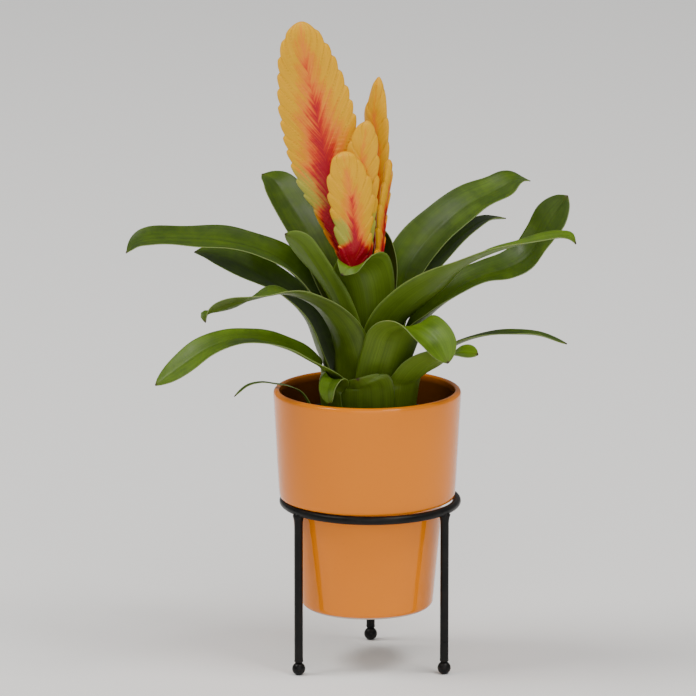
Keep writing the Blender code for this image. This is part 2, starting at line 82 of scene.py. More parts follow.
# Every leaf: the way it heads in degrees, its tier from the inside, the width of its sheath, then rows
# outward of x, y, height over the pot's rim, width, roll in degrees, half angle of its channel in degrees.
# Millimetres from the stand's axis.
LEAVES = {
    "leaf_tank_front": (266, 0, 34, (
        (-1, -13, 38, 38, 0, 80), (-2, -16, 60, 46, 0, 74), (-4, -19, 76, 50, 0, 66),
        (-8, -22, 87, 48, 0, 54), (-14, -28, 92, 28, 0, 30), (-20, -33, 87, 10, 0, 12))),
    "leaf_back_right": (62, 1, 24, (
        (7, 13, 43, 24, 0, 50), (10, 17, 68, 24, 0, 40), (10, 21, 88, 22, 0, 30), (5, 26, 110, 16, 0, 20))),
    "leaf_left_short": (213, 2, 28, (
        (-17, -11, 43, 28, 0, 60), (-25, -15, 66, 26, 10, 50), (-32, -18, 81, 22, 20, 40),
        (-41, -20, 96, 21, 30, 30), (-49, -21, 107, 20, 35, 25), (-59, -21, 114, 18, 35, 20))),
    "leaf_back_left": (125, 3, 34, (
        (-17, 17, 39, 35, 0, 70), (-32, 25, 79, 36, 0, 46), (-43, 33, 103, 38, 0, 28),
        (-56, 44, 122, 35, 0, 22), (-66, 52, 136, 30, 0, 18), (-76, 57, 141, 25, 0, 12))),
    "leaf_right_light": (322, 4, 36, (
        (12, -16, 36, 41, 0, 55), (19, -22, 53, 44, -10, 44), (30, -27, 66, 42, -16, 36),
        (44, -30, 78, 38, -12, 30), (60, -32, 91, 31, -2, 26), (80, -34, 102, 26, 6, 24),
        (101, -35, 109, 23, 8, 20), (122, -36, 114, 22, 8, 16), (136, -37, 115, 18, 4, 12),
        (141, -38, 110, 10, 0, 10))),
    "leaf_upper_right": (44, 5, 36, (
        (15, 17, 38, 36, 0, 50), (20, 21, 63, 38, 4, 40), (28, 27, 83, 39, 6, 34), (40, 32, 99, 40, 8, 28),
        (55, 37, 113, 38, 8, 24), (71, 41, 124, 35, 8, 20), (88, 44, 132, 33, 6, 16),
        (102, 46, 139, 31, 4, 14),
        (112, 47, 138, 24, 0, 10))),
    "leaf_left_long": (178, 6, 36, (
        (-27, 3, 39, 36, 0, 50), (-39, 6, 64, 33, -8, 34), (-62, 12, 89, 33, -16, 32),
        (-94, 16, 100, 30, -20, 26), (-129, 18, 103, 28, -20, 20), (-158, 18, 102, 26, -18, 14),
        (-170, 15, 93, 19, -10, 10))),
    "leaf_upper_right_under": (34, 7, 36, (
        (20, 17, 38, 34, 0, 52), (25, 21, 53, 32, 0, 42), (37, 28, 73, 30, 0, 34), (53, 35, 90, 28, 0, 28),
        (69, 40, 104, 25, -4, 24), (82, 43, 111, 23, -10, 20), (95, 44, 112, 17, -12, 12))),
    "leaf_left_arching": (228, 8, 40, (
        (-16, -24, 25, 40, 0, 49), (-21, -30, 45, 38, 0, 46), (-32, -41, 64, 34, 0, 32),
        (-48, -49, 75, 29, 0, 26), (-63, -54, 79, 25, 0, 24), (-78, -57, 76, 22, 24, 22),
        (-92, -58, 72, 20, 46, 22), (-105, -59, 68, 19, 44, 24), (-113, -60, 65, 15, 20, 26),
        (-113, -62, 60, 8, 0, 20))),
    "leaf_right_upturned": (352, 9, 38, (
        (29, -6, 37, 38, 2, 44), (41, -5, 54, 37, 12, 36), (58, 0, 69, 35, 20, 30), (78, 4, 79, 32, 24, 26),
        (96, 8, 84, 32, 28, 22), (109, 10, 91, 34, 32, 18), (118, 12, 104, 36, 36, 16),
        (126, 13, 118, 38, 38, 14), (137, 14, 134, 31, 34, 10))),
    "leaf_left_shaded": (166, 10, 42, (
        (-36, 9, 27, 46, 0, 44), (-44, 13, 48, 42, 0, 36), (-57, 20, 63, 37, -8, 30),
        (-74, 26, 73, 36, -15, 24),
        (-91, 30, 82, 33, -19, 20), (-108, 33, 88, 27, -18, 14), (-123, 34, 90, 17, -12, 10))),
    "leaf_front_big": (287, 11, 40, (
        (11, -31, 19, 42, 0, 46), (15, -36, 34, 43, 0, 40), (18, -42, 45, 42, -2, 32),
        (24, -51, 54, 38, 4, 28),
        (34, -59, 56, 33, 2, 24), (46, -65, 48, 26, -4, 20), (53, -69, 33, 15, 0, 14))),
    "leaf_right_thin": (341, 12, 26, (
        (37, -13, 17, 24, 0, 30), (51, -15, 29, 20, 0, 26), (65, -16, 37, 17, 0, 24),
        (82, -17, 42, 15, 0, 22),
        (100, -18, 43, 14, 0, 20), (118, -19, 42, 12, 0, 16), (136, -20, 36, 8, 0, 12))),
    "leaf_lower_left": (212, 13, 38, (
        (-29, -22, 12, 34, -6, 46), (-35, -29, 22, 34, -14, 32), (-46, -35, 31, 32, -20, 28),
        (-60, -40, 39, 30, -16, 24), (-77, -43, 44, 29, -11, 22), (-94, -46, 45, 29, -9, 18),
        (-112, -49, 39, 28, -8, 16), (-129, -51, 28, 24, -10, 14), (-148, -53, 14, 16, -10, 10))),
    "leaf_lower_right": (318, 14, 34, (
        (29, -29, 13, 32, -8, 34), (38, -37, 24, 30, -18, 30), (50, -43, 32, 27, -14, 26),
        (61, -47, 35, 24, 6, 22),
        (74, -50, 35, 20, 18, 14))),
    "leaf_left_curled": (227, 18, 20, (
        (-24, -41, 14, 19, 0, 24), (-26, -46, 16, 18, 0, 30), (-29, -49, 10, 15, 0, 30),
        (-28, -51, 0, 8, 0, 20))),
    "leaf_front_short": (264, 16, 42, (
        (-6, -41, 11, 35, 0, 40), (-9, -44, 17, 22, 0, 30))),
    "leaf_grass_blade": (205, None, 6, (
        (-37, -17, -20.5, 5, 0, 12), (-42, -14, -9, 5, 0, 12), (-48, -9, -1, 5, 0, 12),
        (-57, -3, 2.4, 4, 0, 12),
        (-66, 2, 2.8, 4, 0, 12), (-76, 6, 3, 4, 0, 12), (-86, 8, 0, 4, 0, 12), (-95, 9, -8, 3, 0, 12))),
}

# Every leaf's own looks: lightness of its green, partly its own tone and partly painted light and shade for
# how it is lit, wave of its edge in millimetres, and a seed
LEAF_LOOKS = {
    "leaf_tank_front": (0.6, 0.5, 3), "leaf_back_right": (-0.7, 0.4, 5), "leaf_left_short": (0.8, 0.5, 7),
    "leaf_back_left": (-0.1, 0.7, 11), "leaf_right_light": (0.45, 0.7, 13),
    "leaf_upper_right": (-0.15, 0.8, 17),
    "leaf_left_long": (-0.35, 0.8, 19), "leaf_upper_right_under": (0.0, 0.6, 23),
    "leaf_left_arching": (-0.1, 0.7, 29),
    "leaf_right_upturned": (-0.35, 0.8, 31), "leaf_left_shaded": (-0.2, 0.7, 37),
    "leaf_front_big": (0.5, 0.7, 41),
    "leaf_right_thin": (-0.1, 0.5, 43), "leaf_lower_left": (0.3, 0.8, 47), "leaf_lower_right": (0.9, 0.6, 53),
    "leaf_left_curled": (0.4, 0.4, 59), "leaf_front_short": (0.35, 0.5, 61),
    "leaf_grass_blade": (-0.2, 0.1, 67),
}
TIP_SHARE = 0.105  # the last stretch of a blade, over which it rounds off
BRACT_SLOPE = 1.45  # how far a bract's edge climbs from the middle out, per half width of its spike
SPIKE_ROUND = 0.955  # where a spike's top begins to close, as a share of its length
TIER_FIRST = 0.0115
TIER_PITCH = 0.0017
TIER_FOOT_SHARE = 0.86
SHEATH_TOP = POT_HIGH[2] + 0.006
SHEATH_FOOT = SOIL_HIGH - 0.0020
BLADE_STEP = 0.0018  # how long a blade's faces are
BLADE_COLUMNS = 26
GRASS_COLUMNS = 8
SPUR_WIDTH = 0.0016
SPUR_START = 0.955  # where the spur begins, as a share of the tip
TIP_POWER = 2.15  # how bluntly a tip rounds off
SHOULDER_RADIUS = 0.0612
WAIST_RADIUS = 0.0528
FOOT_RADIUS = 0.0464
OUTER_LIP = 0.0028
INNER_LIP = 0.0016
SEAT_SLOPE = math.radians(40.0)  # the slope under the shoulder, which rests on the ring
RING_GAP = 0.0003
SHOULDER_LIFT = 0.00006
AIM_SIDE, AIM_DEPTH, AIM_HEIGHT = -0.0155, -0.0010, 0.226  # what the camera looks at, from the stand's axis
LIGHT_ALL_ROUND = 0.26
BACKDROP_LIGHT = 1.6

# Every flower spike: yaw of its flat face in degrees, thickness, pairs of bracts, then rows of x, y, height
# over the pot's rim, width
SPIKES = {
    "spike_main": (0, 9, 18, (
        (-10, 3, 67, 7), (-13, 4, 91, 9), (-18, 5, 106, 14), (-25, 5, 126, 26), (-29, 5, 146, 42),
        (-33, 5, 172, 51),
        (-38, 4, 198, 51), (-42, 4, 218, 45), (-46, 3, 239, 34), (-48, 3, 258, 14))),
    "spike_front": (4, 8, 8, (
        (-10, -7, 67, 9), (-12, -11, 93, 18), (-11, -13, 104, 23), (-12, -13, 118, 27), (-13, -13, 136, 32),
        (-16, -13, 153, 28), (-19, -13, 170, 12))),
    "spike_middle": (-4, 6, 8, (
        (-1, 1, 67, 5), (-3, -2, 90, 8), (-3.5, -3.5, 112, 13), (-4, -4, 138, 19), (-5.5, -4, 158, 23),
        (-5, -4, 171, 21), (-3.5, -4, 181, 16), (-2, -4, 190, 7))),
    "spike_tall": (-28, 6, 8, (
        (6, 15, 67, 6), (6, 21, 123, 8), (6, 24, 160, 15), (5, 24, 175, 18), (4, 24, 189, 18),
        (5, 24, 203, 12),
        (6, 24, 216, 4))),
    "spike_right": (66, 5, 6, (
        (6, 3, 67, 5), (6, 5, 88, 8), (7, 7, 106, 12), (8, 7, 121, 14), (10, 7, 135, 14), (12, 7, 149, 10),
        (13, 7, 161, 4))),
    "spike_bud": (20, 3, 2, ((3, -12, 67, 3), (3.5, -13, 80, 5), (4, -13, 92, 6), (4, -13, 101, 2))),
    "spike_left": (10, 5, 5, ((-14, 12, 67, 5), (-16, 13, 87, 9), (-24, 14, 105, 12), (-32, 14, 121, 12),
                              (-43, 14, 140, 4))),
}

# How each spike is coloured: how far its crimson reaches up its middle, how far its foot is crimson all over,
# how green it is above that, which side is greener, and a seed
SPIKE_LOOKS = {
    "spike_main": (0.06, 0.31, 0.70, -1, 2), "spike_front": (-0.09, 0.37, 1.05, -1, 3),
    "spike_middle": (-0.14, 0.30, 0.9, 1, 5), "spike_tall": (-0.16, 0.30, 0.4, 1, 7),
    "spike_right": (0.02, 0.15, 0.2, 1, 11), "spike_bud": (0.25, 0.30, 0.0, 1, 13),
    "spike_left": (0.42, 0.30, 0.0, -1, 17),
}


# ---------------------------------------------------------------- settings

class BromeliadStandSettings(PropertyGroup):
    weld: FloatProperty(name="Weld", description="How far a weld swells out from its rod", default=0.0011,
                        unit="LENGTH")
    paint: FloatVectorProperty(name="Paint", description="Colour of the stand's paint", subtype="COLOR",
                               default=(0.006, 0.006, 0.006))


class BromeliadPotSettings(PropertyGroup):
    wall: FloatProperty(name="Wall", description="Thickness of the pot's wall", default=0.0045, unit="LENGTH")
    floor: FloatProperty(name="Floor", description="Thickness of the pot's floor", default=0.0055,
                         unit="LENGTH")
    glaze: FloatVectorProperty(name="Glaze", description="Colour of the glaze", subtype="COLOR",
                               default=(0.78, 0.205, 0.0))
    # Also used for the painted shade band just over the ring
    clay: FloatVectorProperty(name="Thin glaze", description="Colour where the glaze runs thin",
                              subtype="COLOR",
                              default=(0.46, 0.085, 0.0))
    bisque: FloatVectorProperty(name="Bisque", description="Colour of the unglazed underside",
                                subtype="COLOR",
                                default=(0.46, 0.36, 0.27))
    # Painted shade: the dark brown given to the glaze on the pot's inner wall and floor stands in for the
    # shade down inside the pot
    inside: FloatVectorProperty(name="Inside", description="Colour of the glaze inside the pot",
                                subtype="COLOR",
                                default=(0.19, 0.056, 0.006))


class BromeliadSoilSettings(PropertyGroup):
    crumbs: IntProperty(name="Crumbs", description="How many crumbs of bark and peat lie on the soil",
                        default=190)
    peat: FloatVectorProperty(name="Peat", description="Colour of the soil", subtype="COLOR",
                              default=(0.020, 0.011, 0.007))
    plastic: FloatVectorProperty(name="Plastic", description="Colour of the nursery pot", subtype="COLOR",
                                 default=(0.012, 0.012, 0.012))


class BromeliadLeafSettings(PropertyGroup):
    thickness: FloatProperty(name="Thickness", description="Thickness of a blade at its middle",
                             default=0.0009,
                             unit="LENGTH")
    upper: FloatVectorProperty(name="Upper side", description="Green of a leaf's upper side", subtype="COLOR",
                               default=(0.076, 0.140, 0.0016))
    deep: FloatVectorProperty(name="Deep green", description="Its darker patches", subtype="COLOR",
                              default=(0.042, 0.084, 0.0010))
    under: FloatVectorProperty(name="Under side", description="Green of a leaf's under side", subtype="COLOR",
                               default=(0.086, 0.138, 0.010))
    margin: FloatVectorProperty(name="Margin", description="The pale line along its edge", subtype="COLOR",
                                default=(0.20, 0.26, 0.06))
    dry: FloatVectorProperty(name="Dry tip", description="The withered tip", subtype="COLOR",
                             default=(0.050, 0.034, 0.010))


class BromeliadFlowerSettings(PropertyGroup):
    bract: FloatProperty(name="Bract", description="How far a bract's edge stands off the next one",
                         default=0.0010,
                         unit="LENGTH")
    scallop: FloatProperty(name="Scallop", description="How far a bract's tip stands out of its spike's edge",
                           default=0.0017, unit="LENGTH")
    yellow: FloatVectorProperty(name="Yellow", description="Colour of a bract's edge", subtype="COLOR",
                                default=(0.80, 0.40, 0.0))
    peach: FloatVectorProperty(name="Peach", description="Between the yellow and the crimson",
                               subtype="COLOR",
                               default=(0.84, 0.25, 0.020))
    crimson: FloatVectorProperty(name="Crimson", description="Colour along the middle and at the foot",
                                 subtype="COLOR", default=(0.44, 0.003, 0.020))
    green: FloatVectorProperty(name="Green", description="Colour of the green patches", subtype="COLOR",
                               default=(0.42, 0.40, 0.050))


class BromeliadStageSettings(PropertyGroup):
    distance: FloatProperty(name="Distance", description="From the camera to its aim", default=4.17,
                            unit="LENGTH")
    pitch: FloatProperty(name="Pitch", description="How far the camera looks down",
                         default=math.radians(12.3),
                         subtype="ANGLE")
    lens: FloatProperty(name="Lens", description="Focal length in millimetres", default=310.3)
    floor: FloatVectorProperty(name="Floor", description="Colour of the floor", subtype="COLOR",
                               default=(0.95, 0.95, 0.95))


# ---------------------------------------------------------------- making materials

def plug(tree, socket, value):
    """Link an output to a socket, or set a plain value on it."""
    if isinstance(value, bpy.types.NodeSocket):
        tree.links.new(value, socket)
    else:
        socket.default_value = value


def add_node(tree, kind, sockets=None, **settings):
    made = tree.nodes.new("ShaderNode" + kind)
    for key, value in settings.items():
        setattr(made, key, value)
    for key, value in (sockets or {}).items():
        plug(tree, made.inputs[key], value)
    return made


def maths(tree, operation, first, second=0.0):
    made = add_node(tree, "Math", {0: first, 1: second}, operation=operation)
    return made.outputs[0]


def blend(tree, factor, first, second):
    made = add_node(tree, "Mix", {0: factor, 6: first, 7: second}, data_type="RGBA")
    return made.outputs[2]


def spread(tree, value, low, high, to_low=0.0, to_high=1.0):
    """Map low..high onto to_low..to_high, smoothly and clamped."""
    made = add_node(tree, "MapRange", {0: value, 1: low, 2: high, 3: to_low, 4: to_high},
                    interpolation_type="SMOOTHSTEP")
    return made.outputs[0]


def ramp(tree, value, stops):
    made = add_node(tree, "ValToRGB", {0: value})
    elements = made.color_ramp.elements
    while len(elements) < len(stops):
        elements.new(1.0)
    for element, (place, colour) in zip(elements, stops):
        element.position = place
        element.color = solid(colour)
    return made.outputs[0]


def grain(tree, vector, scale, detail=3.0, rough=0.5, warp=0.0):
    made = add_node(tree, "TexNoise", {"Vector": vector, "Scale": scale, "Detail": detail, "Roughness": rough,
                                       "Distortion": warp})
    return made.outputs[0]


def stretched(tree, vector, scale):
    made = add_node(tree, "Mapping", {"Vector": vector, "Scale": scale})
    return made.outputs[0]


def reading(tree, name):
    """The value of a piece's own attribute."""
    return add_node(tree, "Attribute", attribute_name=name).outputs["Fac"]


def place_on(tree):
    return add_node(tree, "TexCoord").outputs["Object"]


def bumped(tree, height, strength, distance, under=None):
    sockets = {"Height": height, "Strength": strength, "Distance": distance}
    if under is not None:
        sockets["Normal"] = under
    return add_node(tree, "Bump", sockets).outputs[0]


def solid(colour):
    return (colour[0], colour[1], colour[2], 1.0)


def new_material(name, **plain):
    """A Principled material whose plain values are set on the shader's own sockets."""
    made = bpy.data.materials.new(name)
    made.use_nodes = True
    shader = made.node_tree.nodes["Principled BSDF"]
    for key, value in plain.items():
        shader.inputs[key.replace("_", " ")].default_value = value
    return made, made.node_tree, shader


def leaf_material(name, face, deep, settings, roughness, veins):
    """Strap leaf: veins along it, soft mottling and faint cross bands, a pale edge and a dry tip, each leaf
    lighter or darker by a tone that partly paints in how it is lit.
    """
    made, tree, shader = new_material(name, Subsurface_Weight=0.10, Subsurface_Scale=0.0014,
                                      Specular_IOR_Level=0.30)
    shader.inputs["Subsurface Radius"].default_value = (0.5, 1.0, 0.15)
    track = add_node(tree, "UVMap", uv_map="blade").outputs[0]
    fine = grain(tree, stretched(tree, track, (46.0, 0.55, 1.0)), 1.0, 2.0, 0.5)
    broad = grain(tree, stretched(tree, track, (9.0, 0.35, 1.0)), 1.0, 2.0, 0.5)
    mottle = grain(tree, place_on(tree), 62.0, 4.0, 0.55, 0.3)
    bands = grain(tree, stretched(tree, track, (1.3, 7.5, 1.0)), 1.0, 2.5, 0.6, 0.5)
    tone_and_painted_light = reading(tree, "tone_and_painted_light")
    along = reading(tree, "along")
    edge = reading(tree, "edge")
    tip = reading(tree, "tip")
    patches = maths(tree, "ADD", maths(tree, "MULTIPLY", mottle, 0.6), maths(tree, "MULTIPLY", bands, 0.45))
    # Painted light and shade: the leaf's tone, set partly for how it is lit, also shifts its patches
    patches = maths(tree, "ADD", patches, maths(tree, "MULTIPLY", tone_and_painted_light, 0.22))
    colour = blend(tree, spread(tree, patches, 0.36, 0.70), solid(deep), solid(face))
    lines = spread(tree, fine, 0.30, 0.70, 0.86, 1.14)
    wide_lines = spread(tree, broad, 0.25, 0.75, 0.90, 1.10)
    lined = add_node(tree, "HueSaturation", {"Value": maths(tree, "MULTIPLY", lines, wide_lines),
                                             "Color": colour})
    foot = spread(tree, along, 0.42, 0.08)
    pale_foot = blend(tree, maths(tree, "MULTIPLY", foot, 0.42), lined.outputs[0], (0.125, 0.175, 0.004, 1.0))
    # Painted light and shade: each leaf made lighter or darker by its tone, partly its own and partly for how
    # light falls on it
    lit = add_node(tree, "HueSaturation", {"Value": spread(tree, tone_and_painted_light, -1.0, 1.0, 0.66, 1.26),
                                           "Color": pale_foot})
    margin = spread(tree, edge, 0.00045, 0.00012)
    rimmed = blend(tree, maths(tree, "MULTIPLY", margin, 0.32), lit.outputs[0], solid(settings.margin))
    warn = spread(tree, tip, 0.008, 0.0025)
    browned = blend(tree, maths(tree, "MULTIPLY", warn, 0.30), rimmed, (0.09, 0.10, 0.006, 1.0))
    dry = blend(tree, spread(tree, tip, 0.0030, 0.0012), browned, solid(settings.dry))
    plug(tree, shader.inputs["Base Color"], dry)
    plug(tree, shader.inputs["Roughness"], spread(tree, mottle, 0.2, 0.8, roughness - 0.07, roughness + 0.09))
    ribs = bumped(tree, fine, veins, 0.00022)
    skin = bumped(tree, grain(tree, place_on(tree), 900.0, 2.0), 0.10, 0.0001, ribs)
    plug(tree, shader.inputs["Normal"], skin)
    return made


def leaf_materials(settings):
    upper = leaf_material("leaf_upper_side", settings.upper, settings.deep, settings, 0.43, 0.28)
    under_deep = [value * 0.72 for value in settings.under]
    under = leaf_material("leaf_under_side", settings.under, under_deep, settings, 0.44, 0.45)
    edge, tree, shader = new_material("leaf_cut_edge", Roughness=0.5, Subsurface_Weight=0.1,
                                      Subsurface_Scale=0.001)
    flecks = grain(tree, place_on(tree), 160.0)
    tint = blend(tree, flecks, (0.14, 0.20, 0.04, 1.0), solid(settings.margin))
    plug(tree, shader.inputs["Base Color"], blend(tree, spread(tree, reading(tree, "tip"), 0.0045, 0.002),
                                                  tint,
                                                  solid(settings.dry)))
    return [upper, under, edge]


def bract_material(settings):
    """Waxy bract: yellow at its spike's rim, then peach, crimson along the middle, and green near the foot,
    with painted shade just above where one bract overlaps the next.
    """
    made, tree, shader = new_material("bract_wax", Subsurface_Weight=0.08, Subsurface_Scale=0.0014,
                                      Specular_IOR_Level=0.22)
    shader.inputs["Subsurface Radius"].default_value = (1.0, 0.45, 0.12)
    track = add_node(tree, "UVMap", uv_map="bract").outputs[0]
    streak = grain(tree, stretched(tree, track, (1.1, 5.0, 1.0)), 1.0, 3.0, 0.6, 0.4)
    fine = grain(tree, stretched(tree, track, (2.2, 26.0, 1.0)), 1.0, 2.0, 0.6, 0.3)
    cloud = grain(tree, place_on(tree), 80.0, 3.0, 0.5)
    wander = maths(tree, "MULTIPLY", maths(tree, "SUBTRACT", streak, 0.5), 0.85)
    drift = maths(tree, "MULTIPLY", maths(tree, "SUBTRACT", cloud, 0.5), 0.55)
    place = maths(tree, "ADD", maths(tree, "ADD", reading(tree, "ripeness"), wander), drift)
    colour = ramp(tree, place, [
        (0.10, settings.crimson), (0.26, (0.62, 0.022, 0.012)), (0.40, (0.80, 0.12, 0.014)),
        (0.56, settings.peach), (0.72, (0.82, 0.30, 0.0)), (0.90, settings.yellow)])
    leafy = blend(tree, spread(tree, maths(tree, "ADD", reading(tree, "greenness"), wander), 0.30, 0.75),
                  colour,
                  solid(settings.green))
    cream = spread(tree, fine, 0.54, 0.84, 0.0, 0.26)
    faded = blend(tree, cream, leafy, (0.80, 0.44, 0.07, 1.0))
    tip = reading(tree, "bract_tip")
    # Painted shade: each bract darkened just above the edge of the bract that overlaps it
    overlap_shaded = spread(tree, reading(tree, "bract_overlap_shade"), 0.0, 0.22, 0.80, 1.0)
    value = maths(tree, "MULTIPLY", spread(tree, fine, 0.2, 0.8, 0.90, 1.06), overlap_shaded)
    shade = add_node(tree, "HueSaturation", {"Value": value, "Color": faded})
    speck = blend(tree, spread(tree, tip, 0.90, 0.99, 0.0, 0.55), shade.outputs[0], (0.30, 0.14, 0.02, 1.0))
    plug(tree, shader.inputs["Base Color"], speck)
    plug(tree, shader.inputs["Roughness"], spread(tree, cloud, 0.2, 0.8, 0.34, 0.48))
    plug(tree, shader.inputs["Normal"], bumped(tree, fine, 0.35, 0.00025))
    return made


def glaze_material(settings):
    """Glossy glaze: a touch mottled, browner where it runs thin over edges and in a painted shade band just
    over the ring, darkened inside the pot by painted shade, with a faint orange-peel skin.
    """
    made, tree, shader = new_material("orange_glaze", IOR=1.45, Specular_IOR_Level=0.34)
    spot = place_on(tree)
    cloud = grain(tree, stretched(tree, spot, (1.0, 1.0, 0.35)), 16.0, 3.0, 0.5, 0.3)
    fleck = grain(tree, spot, 420.0, 2.0)
    thin = reading(tree, "thin_glaze_and_ring_shade")
    colour = blend(tree, spread(tree, cloud, 0.3, 0.75, 0.0, 0.20), solid(settings.glaze),
                   (0.80, 0.235, 0.0, 1.0))
    colour = blend(tree, spread(tree, fleck, 0.62, 0.80, 0.0, 0.10), colour, solid(settings.clay))
    # The thin glaze mask also holds a painted shade band just over the ring, besides the real thin glaze at
    # the lip and foot
    ragged = maths(tree, "ADD", thin, maths(tree, "MULTIPLY", maths(tree, "SUBTRACT", cloud, 0.5), 0.35))
    colour = blend(tree, spread(tree, ragged, 0.25, 1.0, 0.0, 0.85), colour, solid(settings.clay))
    # Painted shade: the inner wall and floor blend towards the dark inside colour
    colour = blend(tree, reading(tree, "inside"), colour, solid(settings.inside))
    colour = blend(tree, reading(tree, "unglazed"), colour, solid(settings.bisque))
    plug(tree, shader.inputs["Base Color"], colour)
    plug(tree, shader.inputs["Roughness"], spread(tree, cloud, 0.2, 0.8, 0.06, 0.10))
    ripple = bumped(tree, grain(tree, spot, 130.0, 2.0), 0.05, 0.0006)
    plug(tree, shader.inputs["Normal"], bumped(tree, fleck, 0.04, 0.0001, ripple))
    return made


def paint_material(settings):
    made, tree, shader = new_material("black_powder_coat", Specular_IOR_Level=0.13)
    spot = place_on(tree)
    skin = grain(tree, spot, 1500.0, 2.0)
    worn = grain(tree, spot, 90.0, 4.0, 0.6)
    colour = blend(tree, spread(tree, worn, 0.35, 0.75), solid(settings.paint), (0.012, 0.011, 0.010, 1.0))
    plug(tree, shader.inputs["Base Color"], colour)
    plug(tree, shader.inputs["Roughness"], spread(tree, worn, 0.25, 0.75, 0.26, 0.40))
    plug(tree, shader.inputs["Normal"], bumped(tree, skin, 0.18, 0.00012))
    return made


def plastic_material(settings):
    made, tree, shader = new_material("nursery_pot_plastic", IOR=1.46)
    spot = place_on(tree)
    scuff = grain(tree, stretched(tree, spot, (1.0, 1.0, 4.0)), 70.0, 4.0, 0.6)
    colour = blend(tree, spread(tree, scuff, 0.55, 0.8), solid(settings.plastic), (0.045, 0.038, 0.032, 1.0))
    plug(tree, shader.inputs["Base Color"], colour)
    plug(tree, shader.inputs["Roughness"], spread(tree, scuff, 0.3, 0.8, 0.42, 0.65))
    plug(tree, shader.inputs["Normal"], bumped(tree, grain(tree, spot, 700.0), 0.15, 0.0002))
    return made


def soil_material(settings):
    made, tree, shader = new_material("peat_and_bark")
    spot = place_on(tree)
    lump = grain(tree, spot, 240.0, 5.0, 0.65)
    hue = reading(tree, "crumb")
    dark = blend(tree, lump, solid(settings.peat), (0.060, 0.034, 0.018, 1.0))
    bark = blend(tree, lump, (0.10, 0.050, 0.022, 1.0), (0.028, 0.014, 0.008, 1.0))
    plug(tree, shader.inputs["Base Color"], blend(tree, spread(tree, hue, 0.35, 0.9), dark, bark))
    plug(tree, shader.inputs["Roughness"], spread(tree, lump, 0.2, 0.8, 0.80, 0.97))
    plug(tree, shader.inputs["Normal"], bumped(tree, grain(tree, spot, 800.0, 4.0, 0.7), 0.6, 0.0006))
    return made


def stem_material():
    made, tree, shader = new_material("flower_stalk", Subsurface_Weight=0.1, Subsurface_Scale=0.002)
    spot = place_on(tree)
    fibre = grain(tree, stretched(tree, spot, (6.0, 6.0, 1.0)), 130.0, 3.0)
    plug(tree, shader.inputs["Base Color"], blend(tree, fibre, (0.20, 0.26, 0.05, 1.0),
                                                  (0.34, 0.06, 0.04, 1.0)))
    plug(tree, shader.inputs["Roughness"], spread(tree, fibre, 0.2, 0.8, 0.40, 0.55))
    plug(tree, shader.inputs["Normal"], bumped(tree, fibre, 0.3, 0.0003))
    return made


def floor_material(settings):
    made, tree, shader = new_material("plain_floor", Roughness=0.85, Specular_IOR_Level=0.2)
    haze = grain(tree, place_on(tree), 0.8, 2.0)
    pale = [min(1.0, value * 1.02) for value in settings.floor]
    plug(tree, shader.inputs["Base Color"], blend(tree, haze, solid(settings.floor), solid(pale)))
    return made


# ---------------------------------------------------------------- making pieces

def finish_piece(build, name, materials, nodes):
    """Turn a bmesh into a shown piece that rides on the part and stands for the CAD nodes it replaces."""
    mesh = bpy.data.meshes.new(name)
    build.to_mesh(mesh)
    build.free()
    for face in mesh.polygons:
        face.use_smooth = True
    for item in materials:
        mesh.materials.append(item)
    made = bpy.data.objects.new(name, mesh)
    bpy.context.scene.collection.objects.link(made)
    if nodes:
        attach(made, BODY)
        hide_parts(*nodes)
    return made


def arc(centre, radius, start, end, steps):
    """Points of an arc in the r, z plane, angles in degrees."""
    points = []
    for step in range(steps + 1):
        angle = math.radians(start + (end - start) * step / steps)
        points.append((centre[0] + radius * math.cos(angle), centre[1] + radius * math.sin(angle)))
    return points


def even_profile(points, longest):
    """The same profile with its long stretches divided."""
    made = [points[0]]
    for first, second in zip(points, points[1:]):
        length = math.hypot(second[0] - first[0], second[1] - first[1])
        parts = max(1, math.ceil(length / longest))
        for part in range(1, parts + 1):
            share = part / parts
            made.append((first[0] + (second[0] - first[0]) * share,
                         first[1] + (second[1] - first[1]) * share))
    return made


def turned(profile, steps, centre, closed=False):
    """Spin a profile of r, z points round an upright axis through the centre."""
    build = bmesh.new()
    verts = [build.verts.new((r, 0.0, z)) for r, z in profile]
    pairs = list(zip(verts, verts[1:]))
    if closed:
        pairs.append((verts[-1], verts[0]))
    edges = [build.edges.new(pair) for pair in pairs]
    bmesh.ops.spin(build, geom=verts + edges, cent=(0, 0, 0), axis=(0, 0, 1), angle=math.tau, steps=steps,
                   use_merge=True)
    bmesh.ops.remove_doubles(build, verts=build.verts[:], dist=1e-6)
    bmesh.ops.recalc_face_normals(build, faces=build.faces[:])
    bmesh.ops.translate(build, verts=build.verts[:], vec=(centre[0], centre[1], 0.0))
    return build


def smooth_row(rows, position):
    """A Catmull-Rom value of the rows at a position counted in rows."""
    last = len(rows) - 1
    index = min(int(position), last - 1)
    part = position - index
    before = rows[max(index - 1, 0)]
    start = rows[index]
    end = rows[index + 1]
    after = rows[min(index + 2, last)]
    values = []
    for a, b, c, d in zip(before, start, end, after):
        first = (c - a) / 2
        second = (d - b) / 2
        turn = 2 * b - 2 * c + first + second
        bend = 3 * c - 3 * b - 2 * first - second
        values.append(((turn * part + bend) * part + first) * part + b)
    return values


